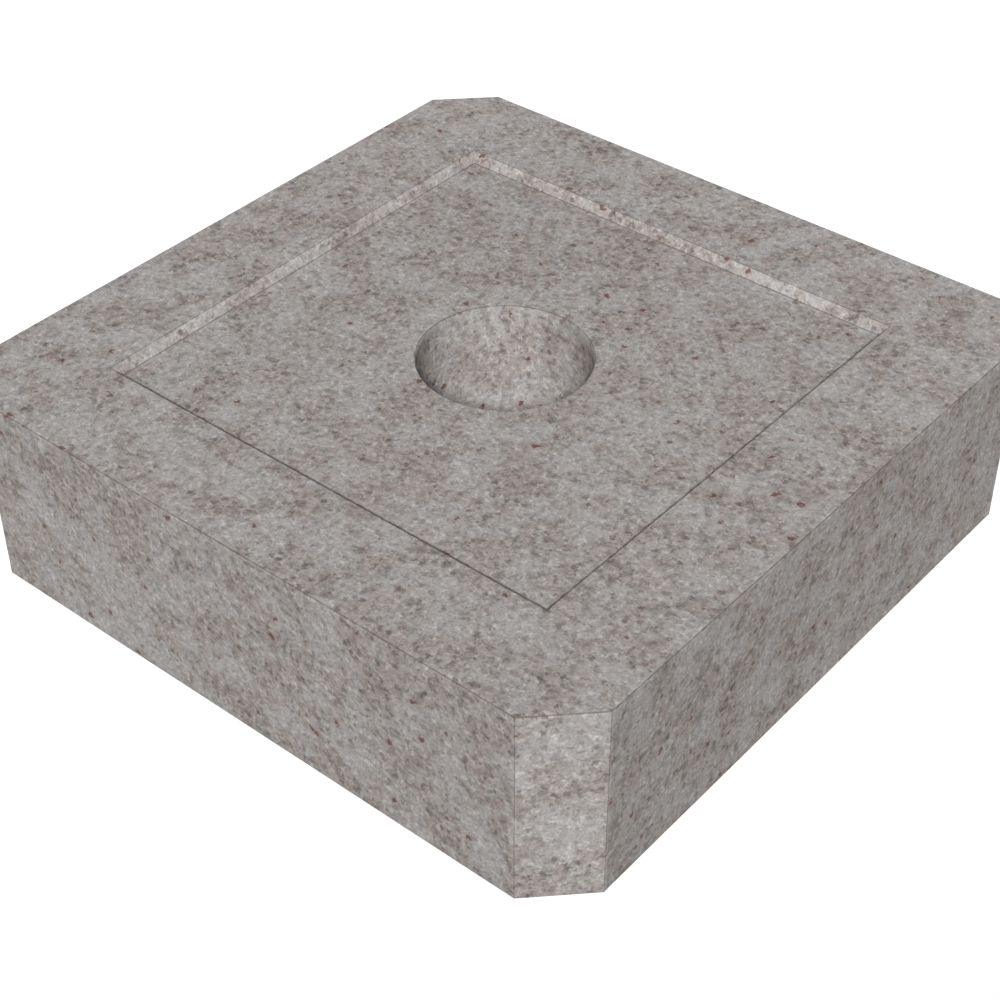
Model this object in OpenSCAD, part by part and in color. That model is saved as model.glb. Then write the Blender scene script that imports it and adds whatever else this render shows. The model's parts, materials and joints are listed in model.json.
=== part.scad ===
// Square stone base block for a column.
// The block stands on its flat underside. A shallow square seat in the top takes the
// column's plinth, and a round hole down the middle takes a dowel, post or pipe.
// Millimetres, +Z up, origin at the centre of the underside.

/* [Block] */
// Width of the block across its flat sides, the same both ways
block_side = 350; // [300:1:600]
// Height of the block from the ground to the top face
block_height = 100; // [40:1:250]
// Length that each upright corner is cut back along both sides
corner_cut = 25; // [5:1:80]

/* [Column seat] */
// Side of the seat's square floor
seat_side = 240; // [120:1:290]
// Depth of the seat's floor below the top face
seat_depth = 5; // [2:0.5:25]
// How far each of the seat's sloping sides leans out between the floor and the top face
seat_flare = 3; // [0.5:0.5:12]

/* [Centre hole] */
// Diameter of the hole, which runs from the seat's floor to the underside
hole_d = 80; // [20:1:110]

/* [Hidden] */

stone_grey = [0.66, 0.64, 0.62];
floor_z = block_height - seat_depth;
// How far a cutting solid runs past the face that it opens
cut_over = 5;
// Straight pieces in the hole's circle
hole_fn = 96;

// Outline of a square with its four corners cut off at 45 degrees, counter-clockwise
function cut_square(side, cut) =
    let (half = side / 2, short = half - cut)
    [
        for (quarter = [0 : 3])
        let (c = cos(90 * quarter), s = sin(90 * quarter))
        each [
            [c * half + s * short, s * half - c * short],
            [c * half - s * short, s * half + c * short]
        ]
    ];

// Body of the block, before the seat and the hole are cut
module block_body() {
    linear_extrude(height = block_height)
        polygon(cut_square(block_side, corner_cut));
}

// A long trough with sloping sides, open at the top and centred across X.
// Its slope goes on past the top face, so that the mouth is cut clean.
module seat_trough() {
    mouth = seat_side / 2 + seat_flare;
    over = seat_flare * cut_over / seat_depth;
    rotate([90, 0, 0])
        linear_extrude(height = block_side, center = true)
            polygon([
                [-seat_side / 2, floor_z],
                [seat_side / 2, floor_z],
                [mouth + over, block_height + cut_over],
                [-mouth - over, block_height + cut_over]
            ]);
}

// The seat is where two such troughs cross
module seat_cut() {
    intersection() {
        seat_trough();
        rotate([0, 0, 90]) seat_trough();
    }
}

// The hole runs out through the underside and up into the seat
module hole_cut() {
    translate([0, 0, -cut_over])
        cylinder(h = floor_z + 2 * cut_over, d = hole_d, $fn = hole_fn);
}

module base_block() {
    color(stone_grey)
        difference() {
            block_body();
            seat_cut();
            hole_cut();
        }
}

base_block();
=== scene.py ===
"""Looks of the column base block: one block of fine speckled granite.

The block is rebuilt round the CAD model's own sizes, with eased arrises, a hollow joint round
the seat's floor and a finely dressed skin. Lengths are in metres, in the CAD model's frame.
"""

import json
import math
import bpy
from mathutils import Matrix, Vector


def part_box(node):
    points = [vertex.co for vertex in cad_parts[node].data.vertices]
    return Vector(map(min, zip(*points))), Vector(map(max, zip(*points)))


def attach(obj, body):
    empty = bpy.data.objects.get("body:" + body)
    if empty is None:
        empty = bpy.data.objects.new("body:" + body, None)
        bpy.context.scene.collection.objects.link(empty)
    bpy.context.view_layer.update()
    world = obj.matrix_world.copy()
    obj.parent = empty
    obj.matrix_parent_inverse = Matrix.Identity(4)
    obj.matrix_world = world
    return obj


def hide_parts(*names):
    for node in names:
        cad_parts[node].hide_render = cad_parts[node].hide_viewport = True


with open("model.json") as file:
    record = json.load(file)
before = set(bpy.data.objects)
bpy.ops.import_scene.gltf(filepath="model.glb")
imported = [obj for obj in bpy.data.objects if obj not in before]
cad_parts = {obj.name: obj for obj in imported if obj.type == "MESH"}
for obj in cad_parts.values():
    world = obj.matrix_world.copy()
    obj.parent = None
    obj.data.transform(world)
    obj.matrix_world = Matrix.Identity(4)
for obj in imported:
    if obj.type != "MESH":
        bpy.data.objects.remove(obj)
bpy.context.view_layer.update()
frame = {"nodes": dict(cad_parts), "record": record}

from types import SimpleNamespace

import bmesh
import bpy
import numpy as np
from mathutils import Matrix, Vector, geometry, noise

MM = 0.001
CAD_NODE = "base_block"
SAME = 0.01 * MM  # closer than this, two heights or places are the same

# ---------------------------------------------------------------- the block's mesh

GRID = 2.0 * MM  # spacing of the rows on faces that are flat
UNDERSIDE_GRID = 14.0 * MM  # spacing of the points within the flat underside
ARRIS = 0.7 * MM  # radius to which every outside edge is eased
JOINT = 0.8 * MM  # radius of the hollow joint round the seat's floor
ARRIS_STEPS = 4  # pieces round a right-angled arris
SEAT_STEPS = 3  # pieces round the seat's arris and round its joint
SLOPE_STEPS = 3  # rows up the seat's sloping side
CORNER_STEPS = 2  # pieces round an upright arris, which turns by 45 degrees
CORE_MARGIN = 10.0 * MM  # from the hole's wall to the square that its rings grow out of
CORE_RINGS = 7  # rings from that square in to the hole's arris
CUT_TURN = math.radians(45)  # from one of the eight sides to the next
RIGHT_ANGLE = math.radians(90)
SHARP = math.radians(40)  # edges that turn by more than this stay sharp


def spaced(start, end, step):
    """Evenly spaced values from start to end, about a step apart."""
    return np.linspace(start, end, max(1, round(abs(end - start) / step)) + 1)


def edge_weight(share):
    """Weight of a point on an eased edge: nothing at either end of the easing, one half way."""
    return np.sin(np.pi * np.asarray(share))


def measure_block(node, record):
    """Sizes of the CAD block. A half is measured from the block's centre line."""
    low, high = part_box(node.name)
    corners = np.array([v.co for v in node.data.vertices])
    reach = np.abs(corners[:, :2]).max(axis=1)
    mounts = {mount["name"]: mount for mount in record["mounts"]}
    seat_z = mounts["column_seat"]["pos_m"][2]
    on_top = np.isclose(corners[:, 2], high.z, atol=SAME)
    on_seat = np.isclose(corners[:, 2], seat_z, atol=SAME)
    on_rim = on_top & np.isclose(reach, high.x, atol=SAME)
    return SimpleNamespace(
        bottom=low.z,
        top=high.z,
        half=high.x,
        flat_half=np.abs(corners[on_rim, :2]).min(),
        mouth_half=reach[on_top].min(),
        seat_half=reach[on_seat].max(),
        seat_z=seat_z,
        hole_r=mounts["centre_hole"]["dims"]["r_mm"] * MM,
    )


def seat_profile(block):
    """Section of the seat's side, from its floor out to the top face.

    Gives the distance from the centre line, the height, and the weights of the arris and joint.
    """
    slope = math.atan2(block.top - block.seat_z, block.mouth_half - block.seat_half)
    tangent = math.tan(slope / 2)
    share = np.linspace(0, 1, SEAT_STEPS + 1)
    turn = slope * share
    joint_reach = block.seat_half - JOINT * tangent + JOINT * np.sin(turn)
    joint_z = block.seat_z + JOINT * (1 - np.cos(turn))
    arris_reach = (block.mouth_half + ARRIS * tangent - ARRIS * np.sin(turn))[::-1]
    arris_z = (block.top - ARRIS * (1 - np.cos(turn)))[::-1]
    slope_reach = np.linspace(joint_reach[-1], arris_reach[0], SLOPE_STEPS + 1)[1:-1]
    slope_z = np.linspace(joint_z[-1], arris_z[0], SLOPE_STEPS + 1)[1:-1]
    weight = edge_weight(share)
    none = np.zeros_like(share)
    none_on_slope = np.zeros_like(slope_z)
    return SimpleNamespace(
        reach=np.concatenate([joint_reach, slope_reach, arris_reach]),
        z=np.concatenate([joint_z, slope_z, arris_z]),
        arris=np.concatenate([none, none_on_slope, weight]),
        joint=np.concatenate([weight, none_on_slope, none]),
    )


class Skin:
    """Points and faces gathered before they become one mesh. Patches are welded where they meet."""

    def __init__(self):
        self.points = []
        self.arris = []
        self.joint = []
        self.faces = []

    def add(self, point, arris=0.0, joint=0.0):
        self.points.append(point)
        self.arris.append(arris)
        self.joint.append(joint)
        return len(self.points) - 1

    def sweep(self, rings):
        """Faces between closed rings of points. A ring is a list of (point, arris weight)."""
        ids = [[self.add(point, arris) for point, arris in ring] for ring in rings]
        for one, other in zip(ids, ids[1:]):
            for k in range(len(one)):
                self.faces.append((one[k - 1], one[k], other[k], other[k - 1]))


def grid_lines(block, seat):
    """Where the top face's grid lines run, the same along X and Y.

    Also gives how many steps a cut corner takes up, and the first and last line of the core,
    the square round the hole that the grid leaves out.
    """
    core = block.hole_r + CORE_MARGIN
    edge = block.half - ARRIS
    flat = block.flat_half - ARRIS * math.tan(CUT_TURN / 2)
    cut_lines = spaced(flat, edge, GRID)
    beyond_core = np.concatenate(
        [
            spaced(core, seat.reach[0], GRID),
            seat.reach[1:-1],
            spaced(seat.reach[-1], flat, GRID),
            cut_lines[1:],
        ]
    )
    within_core = spaced(-core, core, GRID)[1:-1]
    lines = np.concatenate([-beyond_core[::-1], within_core, beyond_core])
    first = len(beyond_core) - 1
    return lines, len(cut_lines) - 1, (first, first + len(within_core) + 1)


def add_top(skin, seat, lines, cut, core):
    """The top face, the seat's sides and its floor, down to the square round the hole."""
    last = len(lines) - 1

    def steps_into_cut(k):
        return max(cut - k, k - (last - cut), 0)

    def inside_core(k):
        return core[0] < k < core[1]

    ids = {}
    for i, x in enumerate(lines):
        for j, y in enumerate(lines):
            if steps_into_cut(i) + steps_into_cut(j) > cut or (inside_core(i) and inside_core(j)):
                continue
            reach = max(abs(x), abs(y))
            height = np.interp(reach, seat.reach, seat.z)
            arris = np.interp(reach, seat.reach, seat.arris, left=0, right=0)
            joint = np.interp(reach, seat.reach, seat.joint, left=0, right=0)
            ids[i, j] = skin.add((x, y, height), arris, joint)
    for i in range(last):
        for j in range(last):
            if core[0] <= i < core[1] and core[0] <= j < core[1]:
                continue
            ring = [(i, j), (i + 1, j), (i + 1, j + 1), (i, j + 1)]
            a, b, c, d = (ids.get(place) for place in ring)
            found = [corner for corner in (a, b, c, d) if corner is not None]
            if len(found) < 3:
                continue
            # Squares on the diagonals are split along the mitre of the seat's corners
            if i == j and len(found) == 4:
                skin.faces += [(a, b, c), (a, c, d)]
            elif i + j == last - 1 and len(found) == 4:
                skin.faces += [(a, b, d), (b, c, d)]
            else:
                skin.faces.append(tuple(found))


def rim_stations(lines, cut):
    """Places round the top face's edge, counter-clockwise: (x, y, outward angle, arris weight).

    A corner of the outline has a station for each step of the turn to the next side.
    """
    last = len(lines) - 1
    flat = range(cut, last - cut + 1)
    slant = range(cut + 1)
    sides = [
        [(last, k) for k in flat],
        [(last - k, last - cut + k) for k in slant],
        [(last - k, last) for k in flat],
        [(cut - k, last - k) for k in slant],
        [(0, last - k) for k in flat],
        [(k, cut - k) for k in slant],
        [(k, 0) for k in flat],
        [(last - cut + k, k) for k in slant],
    ]
    stations = []
    for number, side in enumerate(sides):
        angle = number * CUT_TURN
        stations += [(lines[i], lines[j], angle, 0.0) for i, j in side]
        i, j = side[-1]
        for step in range(1, CORNER_STEPS):
            share = step / CORNER_STEPS
            stations.append((lines[i], lines[j], angle + share * CUT_TURN, edge_weight(share)))
    return stations


def rounded_wall(top, bottom):
    """Section of a wall with both its edges eased, from the top down.

    A row gives the distance out, the height and the arris weight.
    """
    shares = np.linspace(0, 1, ARRIS_STEPS + 1)
    turns = RIGHT_ANGLE * shares
    rows = [
        (ARRIS * math.sin(turn), top - ARRIS * (1 - math.cos(turn)), edge_weight(share))
        for turn, share in zip(turns, shares)
    ]
    rows += [(ARRIS, z, 0.0) for z in spaced(top - ARRIS, bottom + ARRIS, GRID)[1:-1]]
    rows += [
        (ARRIS * math.cos(turn), bottom + ARRIS * (1 - math.sin(turn)), edge_weight(share))
        for turn, share in zip(turns, shares)
    ]
    return rows


def add_sides(skin, block, stations):
    """The eight upright sides, with the arrises between them and above and below them."""
    skin.sweep(
        [
            [
                ((x + out * math.cos(angle), y + out * math.sin(angle), z), max(arris, upright))
                for x, y, angle, upright in stations
            ]
            for out, z, arris in rounded_wall(block.top, block.bottom)
        ]
    )


def core_square(lines, core):
    """Points of the square round the hole, counter-clockwise."""
    low, high = core
    span = range(high - low)
    places = (
        [(high, low + k) for k in span]
        + [(high - k, high) for k in span]
        + [(low, high - k) for k in span]
        + [(low + k, low) for k in span]
    )
    return np.array([(lines[i], lines[j]) for i, j in places])


def add_hole(skin, block, lines, core):
    """The seat's floor close to the hole, the hole's two arrises and its wall."""
    square = core_square(lines, core)
    heading = square / np.linalg.norm(square, axis=1)[:, None]
    circle = heading * (block.hole_r + ARRIS)
    rings = [
        [((x, y, block.seat_z), 0.0) for x, y in square + share * (circle - square)]
        for share in np.linspace(0, 1, CORE_RINGS + 1)[:-1]
    ]
    for out, z, arris in rounded_wall(block.seat_z, block.bottom):
        rings.append([((x, y, z), arris) for x, y in heading * (block.hole_r + ARRIS - out)])
    skin.sweep(rings)


def add_underside(skin, block, stations, lines, core):
    """The flat underside, between the foot of the sides and the foot of the hole's wall."""
    outline = list(dict.fromkeys((x, y) for x, y, _, _ in stations))
    square = core_square(lines, core)
    circle = square / np.linalg.norm(square, axis=1)[:, None] * (block.hole_r + ARRIS)
    loops = [outline, [tuple(point) for point in circle]]
    points = [Vector(point) for loop in loops for point in loop]
    edges = []
    for loop in loops:
        start = edges[-1][0] + 1 if edges else 0
        edges += [(start + k, start + (k + 1) % len(loop)) for k in range(len(loop))]
    across = spaced(-block.half, block.half, UNDERSIDE_GRID)[1:-1]
    points += [
        Vector((x, y))
        for x in across
        for y in across
        if abs(x) + abs(y) < block.half + block.flat_half - UNDERSIDE_GRID
        and math.hypot(x, y) > block.hole_r + UNDERSIDE_GRID / 2
    ]
    inside_outline = 1  # the kind of fill
    found, _, triangles, _, _, _ = geometry.delaunay_2d_cdt(
        points, edges, [], inside_outline, SAME * SAME
    )
    ids = [skin.add((x, y, block.bottom)) for x, y in found]
    for triangle in triangles:
        middle = sum((found[k] for k in triangle), Vector((0, 0))) / 3
        if middle.length > block.hole_r + ARRIS:  # the hole stays open
            skin.faces.append(tuple(ids[k] for k in triangle))


def weld(skin, name):
    """One closed mesh from the skin's patches, with the edge weights kept on its points."""
    mesh = bpy.data.meshes.new(name)
    mesh.from_pydata(skin.points, [], skin.faces)
    for attribute, values in (("arris", skin.arris), ("joint", skin.joint)):
        mesh.attributes.new(attribute, "FLOAT", "POINT").data.foreach_set("value", values)
    work = bmesh.new()
    work.from_mesh(mesh)
    bmesh.ops.remove_doubles(work, verts=work.verts, dist=SAME / 10)
    bmesh.ops.recalc_face_normals(work, faces=work.faces)
    work.to_mesh(mesh)
    work.free()
    return mesh


# ---------------------------------------------------------------- the dressed skin

# The most that each part of the relief cuts into the block, its length along the surface, and
# the seed of its noise. The wander is the face's unevenness, the picks are the mason's tool
# marks, and the wear is on the arrises only.
WANDER_DEPTH, WANDER_LENGTH, WANDER_SEED = 0.10 * MM, 45.0 * MM, 3.7
PICK_DEPTH, PICK_LENGTH, PICK_SEED = 0.07 * MM, 6.0 * MM, 11.3
WEAR_DEPTH, WEAR_LENGTH, WEAR_SEED = 0.05 * MM, 11.0 * MM, 27.1


def wave(point, length, seed):
    """Smooth noise from 0 to 1 at a point, with waves of about the given length."""
    return 0.5 + 0.5 * noise.noise(point / length + Vector((seed, 2 * seed, -seed)))


def add_relief(mesh, block):
    """Presses the hand-dressed unevenness into the skin, never out past the CAD model.

    The underside stays flat, so the block stands on the floor.
    """
    count = len(mesh.vertices)
    normals = np.zeros(3 * count)
    mesh.vertex_normals.foreach_get("vector", normals)
    weights = np.zeros(count, np.float32)
    mesh.attributes["arris"].data.foreach_get("value", weights)
    depths = np.zeros(count)
    for k, vertex in enumerate(mesh.vertices):
        if vertex.co.z < block.bottom + SAME:
            continue
        depths[k] = (
            WANDER_DEPTH * wave(vertex.co, WANDER_LENGTH, WANDER_SEED)
            + PICK_DEPTH * wave(vertex.co, PICK_LENGTH, PICK_SEED)
            + WEAR_DEPTH * weights[k] * wave(vertex.co, WEAR_LENGTH, WEAR_SEED)
        )
    places = np.zeros(3 * count)
    mesh.vertices.foreach_get("co", places)
    places -= normals * np.repeat(depths, 3)
    mesh.vertices.foreach_set("co", places)
    mesh.update()


def build_block(block):
    """The block as one closed mesh object."""
    seat = seat_profile(block)
    lines, cut, core = grid_lines(block, seat)
    stations = rim_stations(lines, cut)
    skin = Skin()
    add_top(skin, seat, lines, cut, core)
    add_sides(skin, block, stations)
    add_hole(skin, block, lines, core)
    add_underside(skin, block, stations, lines, core)
    mesh = weld(skin, "granite_block")
    add_relief(mesh, block)
    mesh.shade_smooth()
    mesh.set_sharp_from_angle(angle=SHARP)
    made = bpy.data.objects.new("granite_block", mesh)
    bpy.context.scene.collection.objects.link(made)
    return made


# ---------------------------------------------------------------- materials


def linear(red, green, blue):
    """A colour written as 0 to 255 on the screen, as linear RGBA."""

    def channel(value):
        value /= 255
        return value / 12.92 if value <= 0.04045 else ((value + 0.055) / 1.055) ** 2.4

    return (channel(red), channel(green), channel(blue), 1.0)


class Nodes:
    """Short ways to add nodes to one node tree."""

    def __init__(self, owner):
        owner.use_nodes = True
        self.tree = owner.node_tree
        self.tree.nodes.clear()

    def add(self, kind, **settings):
        node = self.tree.nodes.new(kind)
        for name, value in settings.items():
            setattr(node, name, value)
        return node

    def feed(self, socket, value):
        """Links an output to the socket, or sets the socket to a plain value."""
        if isinstance(value, bpy.types.NodeSocket):
            self.tree.links.new(value, socket)
        else:
            socket.default_value = value

    def math(self, operation, first, second=0.0, clamp=False):
        node = self.add("ShaderNodeMath", operation=operation, use_clamp=clamp)
        self.feed(node.inputs[0], first)
        self.feed(node.inputs[1], second)
        return node.outputs[0]

    def vector(self, operation, first, second):
        node = self.add("ShaderNodeVectorMath", operation=operation)
        self.feed(node.inputs[0], first)
        self.feed(node.inputs["Scale" if operation == "SCALE" else 1], second)
        return node.outputs[0]

    def noise(self, where, size, detail, roughness=0.5, output="Fac"):
        """Noise whose waves are about size long, in the units of where."""
        node = self.add("ShaderNodeTexNoise", noise_dimensions="3D")
        self.feed(node.inputs["Vector"], where)
        self.feed(node.inputs["Scale"], 1 / size)
        self.feed(node.inputs["Detail"], detail)
        self.feed(node.inputs["Roughness"], roughness)
        return node.outputs[output]

    def cells(self, where, size):
        """Cells about size across: how near the cell's middle is, and each cell's random colour."""
        node = self.add("ShaderNodeTexVoronoi", voronoi_dimensions="3D", feature="F1")
        self.feed(node.inputs["Vector"], where)
        self.feed(node.inputs["Scale"], 1 / size)
        return node.outputs["Distance"], node.outputs["Color"]

    def fade(self, value, start, end, low=0.0, high=1.0):
        """Goes smoothly from low to high as the value goes from start to end."""
        node = self.add("ShaderNodeMapRange", interpolation_type="SMOOTHSTEP")
        self.feed(node.inputs["Value"], value)
        self.feed(node.inputs["From Min"], start)
        self.feed(node.inputs["From Max"], end)
        self.feed(node.inputs["To Min"], low)
        self.feed(node.inputs["To Max"], high)
        return node.outputs[0]

    def blend(self, share, first, second, mode="MIX"):
        """Mixes two colours."""
        node = self.add("ShaderNodeMix", data_type="RGBA", blend_type=mode)
        first_colour, second_colour, mixed = 6, 7, 2  # after the sockets for plain values
        self.feed(node.inputs[0], share)
        self.feed(node.inputs[first_colour], first)
        self.feed(node.inputs[second_colour], second)
        return node.outputs[mixed]

    def attribute(self, name):
        return self.add("ShaderNodeAttribute", attribute_name=name).outputs["Fac"]


# The part of the endless rock that the block is cut from, in millimetres
ROCK_PLACE = (1500.0, -900.0, 0.0)

# Colours of the granite's minerals, as a screen shows them
COOL_GROUND = linear(175, 172, 171)
WARM_GROUND = linear(175, 168, 164)
PINK_FELDSPAR = linear(170, 153, 147)
PALE_QUARTZ = linear(208, 205, 201)
GREY_MICA = linear(120, 113, 110)
DARK_MICA = linear(95, 83, 79)
RED_FLAKE = linear(110, 80, 74)
RED_SPOT = linear(100, 63, 57)
# Painted shade: the dark tone laid into the seat's joint and along the eased arrises
PAINTED_EDGE_SHADE = linear(88, 83, 81)

# Sizes along the surface, in millimetres
SWIRL_SIZE = 9.0
CRUMPLE_SIZE = 1.8
PATCH_SIZE = 18.0
PINK_SIZE = 10.0
QUARTZ_SIZE = 2.6
SMUDGE_SIZE = 4.2
SPECK_SIZE = 2.4
FLAKE_SIZE = 3.4
SPOT_SPACING = 15.0
GRAIN_SIZE = 1.1
# Size of the patches in the painted shade on the edges and in the joint
EDGE_SHADE_SIZE = 5.0

# How far the swirl draws out the patches, and how far the crumple frays flakes and spots
SWIRL_REACH = 6.0
CRUMPLE_REACH = 4.0

# Noise level at which each feature starts to show, and at which it is full
WARM_SHOWS = (0.38, 0.60)
CROWD_SHOWS = (0.38, 0.62)
PINK_GROUND_SHOWS = (0.42, 0.60)
PINK_SHOWS = (0.47, 0.65)
QUARTZ_SHOWS = (0.48, 0.68)
SMUDGE_SHOWS = (0.44, 0.70)
SPECK_SHOWS = (0.55, 0.68)
CLOUD_SHOWS = (0.35, 0.65)
GRAIN_SHOWS = (0.30, 0.70)
# Where the patches in the painted shade on the edges and in the joint show
EDGE_SHADE_SHOWS = (0.30, 0.60)

# Distance from a cell's middle, as a share of the cell, at which each starts and is full
FLAKE_EDGE = (0.52, 0.28)
HALO_EDGE = (0.40, 0.05)
SPOT_EDGE = (0.13, 0.07)
# A cell's own random level: where flakes start and are darkest, and above which it has a spot
FLAKE_LEVELS = (0.50, 0.90)
SPOT_LEVEL = 0.5

# The most that each feature covers what is under it
PINK_MOST = 0.55
QUARTZ_MOST = 0.70
SMUDGE_MOST = 0.65
SPECK_MOST = 0.60
FLAKE_MOST = 0.75
HALO_MOST = 0.45
SPOT_MOST = 0.80
# How strongly the dark minerals show on cool ground and on warm ground
CROWD_SHARE = (0.55, 1.0)
# How far the middle of an eased edge or of the joint takes the painted shade, where its noise is
# low and where it is high
EDGE_SHADE_SHARE = (0.55, 0.85)

# Brightness that the patches and the grain give, from their low noise to their high
CLOUD_TONE = (1.07, 0.93)
GRAIN_TONE = (0.84, 1.16)

ROUGHNESS = (0.66, 0.84)  # from low grain to high
SPECULAR_LEVEL = 0.15
GRAIN_BUMP = 0.06 * MM  # height of the grain


def granite():
    """Fine pinkish-grey granite: loose clusters of dark specks, pink blotches and red spots."""
    material = bpy.data.materials.new("speckled_granite")
    nodes = Nodes(material)
    place = nodes.add("ShaderNodeTexCoord").outputs["Object"]
    mm = nodes.vector("ADD", nodes.vector("SCALE", place, 1 / MM), ROCK_PLACE)

    def elsewhere(seed):
        """Another part of the rock, so that one feature doesn't follow the next."""
        return nodes.vector("ADD", mm, (seed, -seed, 2 * seed))

    swirl = nodes.noise(mm, SWIRL_SIZE, detail=2.0, output="Color")
    warped = nodes.vector("ADD", mm, nodes.vector("SCALE", swirl, SWIRL_REACH))
    crumple = nodes.noise(mm, CRUMPLE_SIZE, detail=2.0, output="Color")
    crumple = nodes.vector("SCALE", crumple, CRUMPLE_REACH)

    # Ground: cool grey with few dark minerals, passing into warm grey with many
    patch = nodes.noise(warped, PATCH_SIZE, detail=4.0, roughness=0.6)
    colour = nodes.blend(nodes.fade(patch, *WARM_SHOWS), COOL_GROUND, WARM_GROUND)
    crowded = nodes.fade(patch, *CROWD_SHOWS, *CROWD_SHARE)

    # Pink blotches on warm ground, pale grains everywhere, and grey smudges under the specks
    pink = nodes.noise(elsewhere(13), PINK_SIZE, detail=3.0, roughness=0.6)
    pink = nodes.fade(pink, *PINK_SHOWS, 0.0, PINK_MOST)
    pink = nodes.math("MULTIPLY", pink, nodes.fade(patch, *PINK_GROUND_SHOWS))
    colour = nodes.blend(pink, colour, PINK_FELDSPAR)
    pale = nodes.noise(elsewhere(67), QUARTZ_SIZE, detail=3.0, roughness=0.6)
    pale = nodes.fade(pale, *QUARTZ_SHOWS, 0.0, QUARTZ_MOST)
    colour = nodes.blend(pale, colour, PALE_QUARTZ)
    smudge = nodes.noise(elsewhere(41), SMUDGE_SIZE, detail=3.0, roughness=0.55)
    smudge = nodes.fade(smudge, *SMUDGE_SHOWS, 0.0, SMUDGE_MOST)
    smudge = nodes.math("MULTIPLY", smudge, crowded)
    colour = nodes.blend(smudge, colour, GREY_MICA)

    # Dark specks, and flakes of uneven shape that each have a darkness of their own
    speck = nodes.noise(elsewhere(91), SPECK_SIZE, detail=3.0, roughness=0.55)
    speck = nodes.fade(speck, *SPECK_SHOWS, 0.0, SPECK_MOST)
    crumpled = nodes.vector("ADD", elsewhere(57), crumple)
    flake_near, flake_level = nodes.cells(crumpled, FLAKE_SIZE)
    darkness = nodes.fade(flake_level, *FLAKE_LEVELS, 0.0, FLAKE_MOST)
    flake = nodes.math("MULTIPLY", nodes.fade(flake_near, *FLAKE_EDGE), darkness)
    dark = nodes.math("MAXIMUM", flake, speck)
    dark = nodes.math("MULTIPLY", dark, crowded)
    colour = nodes.blend(dark, colour, nodes.blend(pink, DARK_MICA, RED_FLAKE))

    # Red-brown spots in pink halos, near the middle of about half of the wide cells
    frayed = nodes.vector("ADD", warped, crumple)
    spot_near, spot_level = nodes.cells(frayed, SPOT_SPACING)
    spot_here = nodes.math("GREATER_THAN", spot_level, SPOT_LEVEL)
    halo = nodes.fade(spot_near, *HALO_EDGE, 0.0, HALO_MOST)
    halo = nodes.math("MULTIPLY", halo, spot_here)
    colour = nodes.blend(halo, colour, PINK_FELDSPAR)
    spot = nodes.fade(spot_near, *SPOT_EDGE, 0.0, SPOT_MOST)
    spot = nodes.math("MULTIPLY", spot, spot_here)
    colour = nodes.blend(spot, colour, RED_SPOT)

    # Crystals a millimetre across give the whole its grain, and the patches cloud it
    grain = nodes.noise(mm, GRAIN_SIZE, detail=3.0, roughness=0.6)
    cloud = nodes.fade(patch, *CLOUD_SHOWS, *CLOUD_TONE)
    tone = nodes.math("MULTIPLY", cloud, nodes.fade(grain, *GRAIN_SHOWS, *GRAIN_TONE))
    colour = nodes.blend(1.0, colour, tone, "MULTIPLY")

    # Painted shade: a patchy dark tone painted into the hollow joint round the seat's floor and
    # along the eased arrises
    edge = nodes.math("MAXIMUM", nodes.attribute("arris"), nodes.attribute("joint"))
    painted_edge_shade = nodes.fade(nodes.noise(mm, EDGE_SHADE_SIZE, detail=2.0), *EDGE_SHADE_SHOWS, *EDGE_SHADE_SHARE)
    painted_edge_shade = nodes.math("MULTIPLY", edge, painted_edge_shade)
    colour = nodes.blend(painted_edge_shade, colour, PAINTED_EDGE_SHADE)

    bump = nodes.add("ShaderNodeBump")
    nodes.feed(bump.inputs["Distance"], GRAIN_BUMP)
    nodes.feed(bump.inputs["Height"], grain)

    shader = nodes.add("ShaderNodeBsdfPrincipled")
    nodes.feed(shader.inputs["Base Color"], colour)
    nodes.feed(shader.inputs["Roughness"], nodes.fade(grain, *GRAIN_SHOWS, *ROUGHNESS))
    nodes.feed(shader.inputs["Specular IOR Level"], SPECULAR_LEVEL)
    nodes.feed(shader.inputs["Normal"], bump.outputs[0])
    output = nodes.add("ShaderNodeOutputMaterial")
    nodes.feed(output.inputs["Surface"], shader.outputs[0])
    return material


# ---------------------------------------------------------------- stage, light and camera

FLOOR_REACH = 30.0
FLOOR_SEEN = 0.75  # how pale the floor is to the camera
FLOOR_BOUNCE = 0.02  # and to light on its way to the block
FLOOR_GLOW = 0.50  # lifts the lit floor to white, to the camera only
AMBIENT = 0.02  # the studio's own light on the block
LAMP_DISTANCE = 2.0  # clear of the block: a sun lights the same from anywhere
KEY_STRENGTH = 3.6
KEY_AZIMUTH, KEY_ELEVATION, KEY_SPREAD = 37.8, 38.0, 8.0
# Low lamps for the two sides that the camera doesn't see
FILL_STRENGTH = 2.0
FILL_AZIMUTHS, FILL_ELEVATION, FILL_SPREAD = (180.0, 270.0), 2.0, 10.0

CAMERA_AZIMUTH, CAMERA_ELEVATION, CAMERA_ROLL = 39.937, 39.352, 0.130
CAMERA_DISTANCE = 0.9738
CAMERA_TARGET = Vector((-0.0018, -0.0015, 0.0119))
CAMERA_LENS = 74.39
CAMERA_SENSOR = 36.0


def seen_directly(nodes):
    """1 for rays that show a background: straight from the camera, mirrored or through glass."""
    path = nodes.add("ShaderNodeLightPath")
    straight = nodes.math("ADD", path.outputs["Is Camera Ray"], path.outputs["Is Glossy Ray"])
    return nodes.math("ADD", straight, path.outputs["Is Transmission Ray"], clamp=True)


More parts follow.
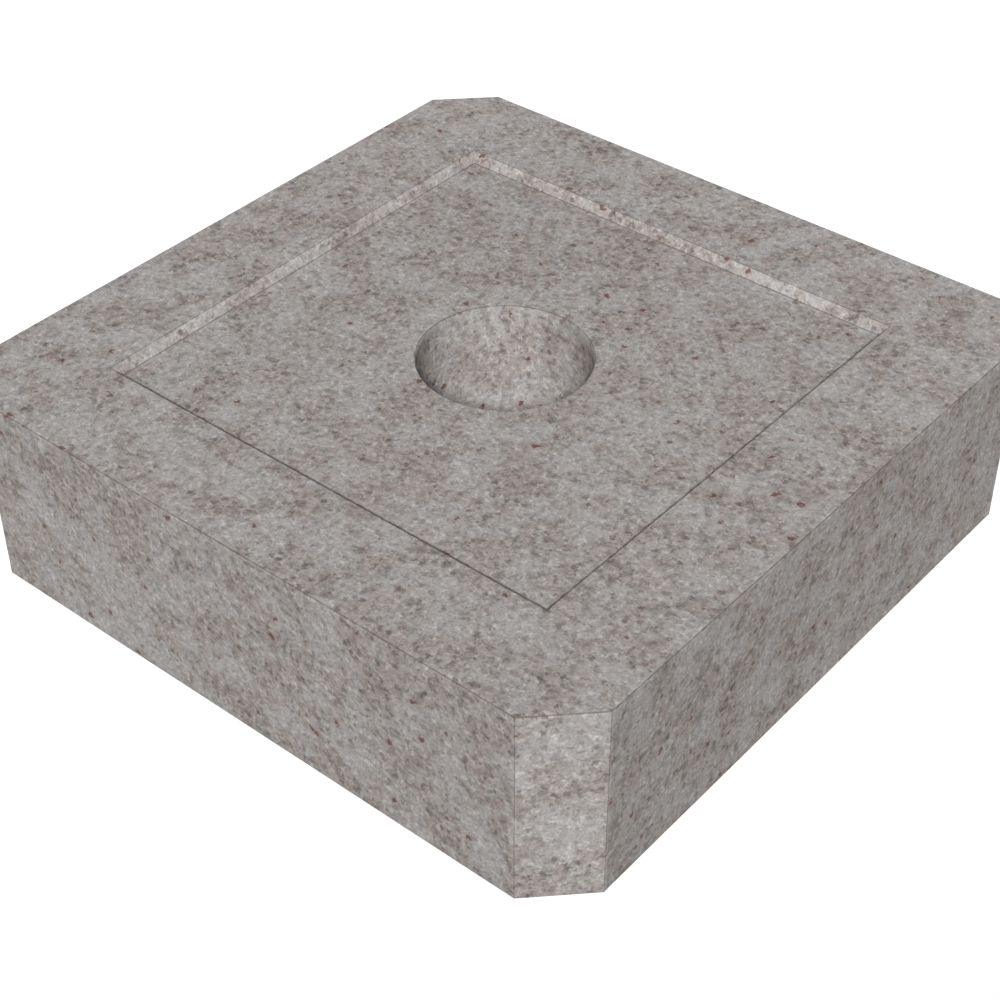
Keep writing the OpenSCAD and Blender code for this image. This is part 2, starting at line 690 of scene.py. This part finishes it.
def pale_floor():
    """A plain floor that looks white and still takes the block's shadow."""
    material = bpy.data.materials.new("pale_floor")
    nodes = Nodes(material)
    seen = seen_directly(nodes)
    diffuse = nodes.add("ShaderNodeBsdfDiffuse")
    bounce = (FLOOR_BOUNCE, FLOOR_BOUNCE, FLOOR_BOUNCE, 1)
    pale = (FLOOR_SEEN, FLOOR_SEEN, FLOOR_SEEN, 1)
    nodes.feed(diffuse.inputs["Color"], nodes.blend(seen, bounce, pale))
    glow = nodes.add("ShaderNodeEmission")
    nodes.feed(glow.inputs["Strength"], nodes.math("MULTIPLY", seen, FLOOR_GLOW))
    both = nodes.add("ShaderNodeAddShader")
    nodes.feed(both.inputs[0], diffuse.outputs[0])
    nodes.feed(both.inputs[1], glow.outputs[0])
    output = nodes.add("ShaderNodeOutputMaterial")
    nodes.feed(output.inputs["Surface"], both.outputs[0])
    return material


def add_floor(height):
    mesh = bpy.data.meshes.new("floor")
    around = ((-1, -1), (1, -1), (1, 1), (-1, 1))
    corners = [(x * FLOOR_REACH, y * FLOOR_REACH, height) for x, y in around]
    mesh.from_pydata(corners, [], [(0, 1, 2, 3)])
    mesh.materials.append(pale_floor())
    floor = bpy.data.objects.new("floor", mesh)
    bpy.context.scene.collection.objects.link(floor)


def set_world():
    """An even, dim studio round the block, which shows as white."""
    world = bpy.data.worlds.new("studio")
    bpy.context.scene.world = world
    nodes = Nodes(world)
    strength = nodes.math("MAXIMUM", seen_directly(nodes), AMBIENT)
    background = nodes.add("ShaderNodeBackground")
    nodes.feed(background.inputs["Color"], (1, 1, 1, 1))
    nodes.feed(background.inputs["Strength"], strength)
    output = nodes.add("ShaderNodeOutputWorld")
    nodes.feed(output.inputs["Surface"], background.outputs[0])


def towards(azimuth, elevation):
    """The direction from the block to an azimuth and elevation in degrees. Azimuth 0 is -Y."""
    a, e = math.radians(azimuth), math.radians(elevation)
    return Vector((math.sin(a) * math.cos(e), -math.cos(a) * math.cos(e), math.sin(e)))


def add_lamp(name, azimuth, elevation, strength, spread):
    """Soft parallel light. Spread is the angle that the lamp takes up, in degrees."""
    light = bpy.data.lights.new(name, "SUN")
    light.energy = strength
    light.angle = math.radians(spread)
    lamp = bpy.data.objects.new(name, light)
    lamp.rotation_mode = "QUATERNION"
    lamp.rotation_quaternion = (-towards(azimuth, elevation)).to_track_quat("-Z", "Y")
    lamp.location = LAMP_DISTANCE * towards(azimuth, elevation)
    bpy.context.scene.collection.objects.link(lamp)


def add_camera():
    back = towards(CAMERA_AZIMUTH, CAMERA_ELEVATION)
    right = Vector((0, 0, 1)).cross(back).normalized()
    upright = Matrix((right, back.cross(right), back)).transposed()
    data = bpy.data.cameras.new("camera")
    data.lens = CAMERA_LENS
    data.sensor_width = CAMERA_SENSOR
    camera = bpy.data.objects.new("camera", data)
    turned = upright @ Matrix.Rotation(-math.radians(CAMERA_ROLL), 3, "Z")
    place = Matrix.Translation(CAMERA_TARGET + CAMERA_DISTANCE * back)
    camera.matrix_world = place @ turned.to_4x4()
    bpy.context.scene.collection.objects.link(camera)
    bpy.context.scene.camera = camera


def main():
    node = frame["nodes"][CAD_NODE]
    block = measure_block(node, frame["record"])
    made = build_block(block)
    made.data.materials.append(granite())
    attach(made, "root")
    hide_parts(CAD_NODE)

    add_floor(block.bottom)
    set_world()
    add_lamp("key", KEY_AZIMUTH, KEY_ELEVATION, KEY_STRENGTH, KEY_SPREAD)
    for azimuth in FILL_AZIMUTHS:
        add_lamp("fill", azimuth, FILL_ELEVATION, FILL_STRENGTH, FILL_SPREAD)
    add_camera()
    bpy.context.scene.view_settings.view_transform = "Standard"


main()
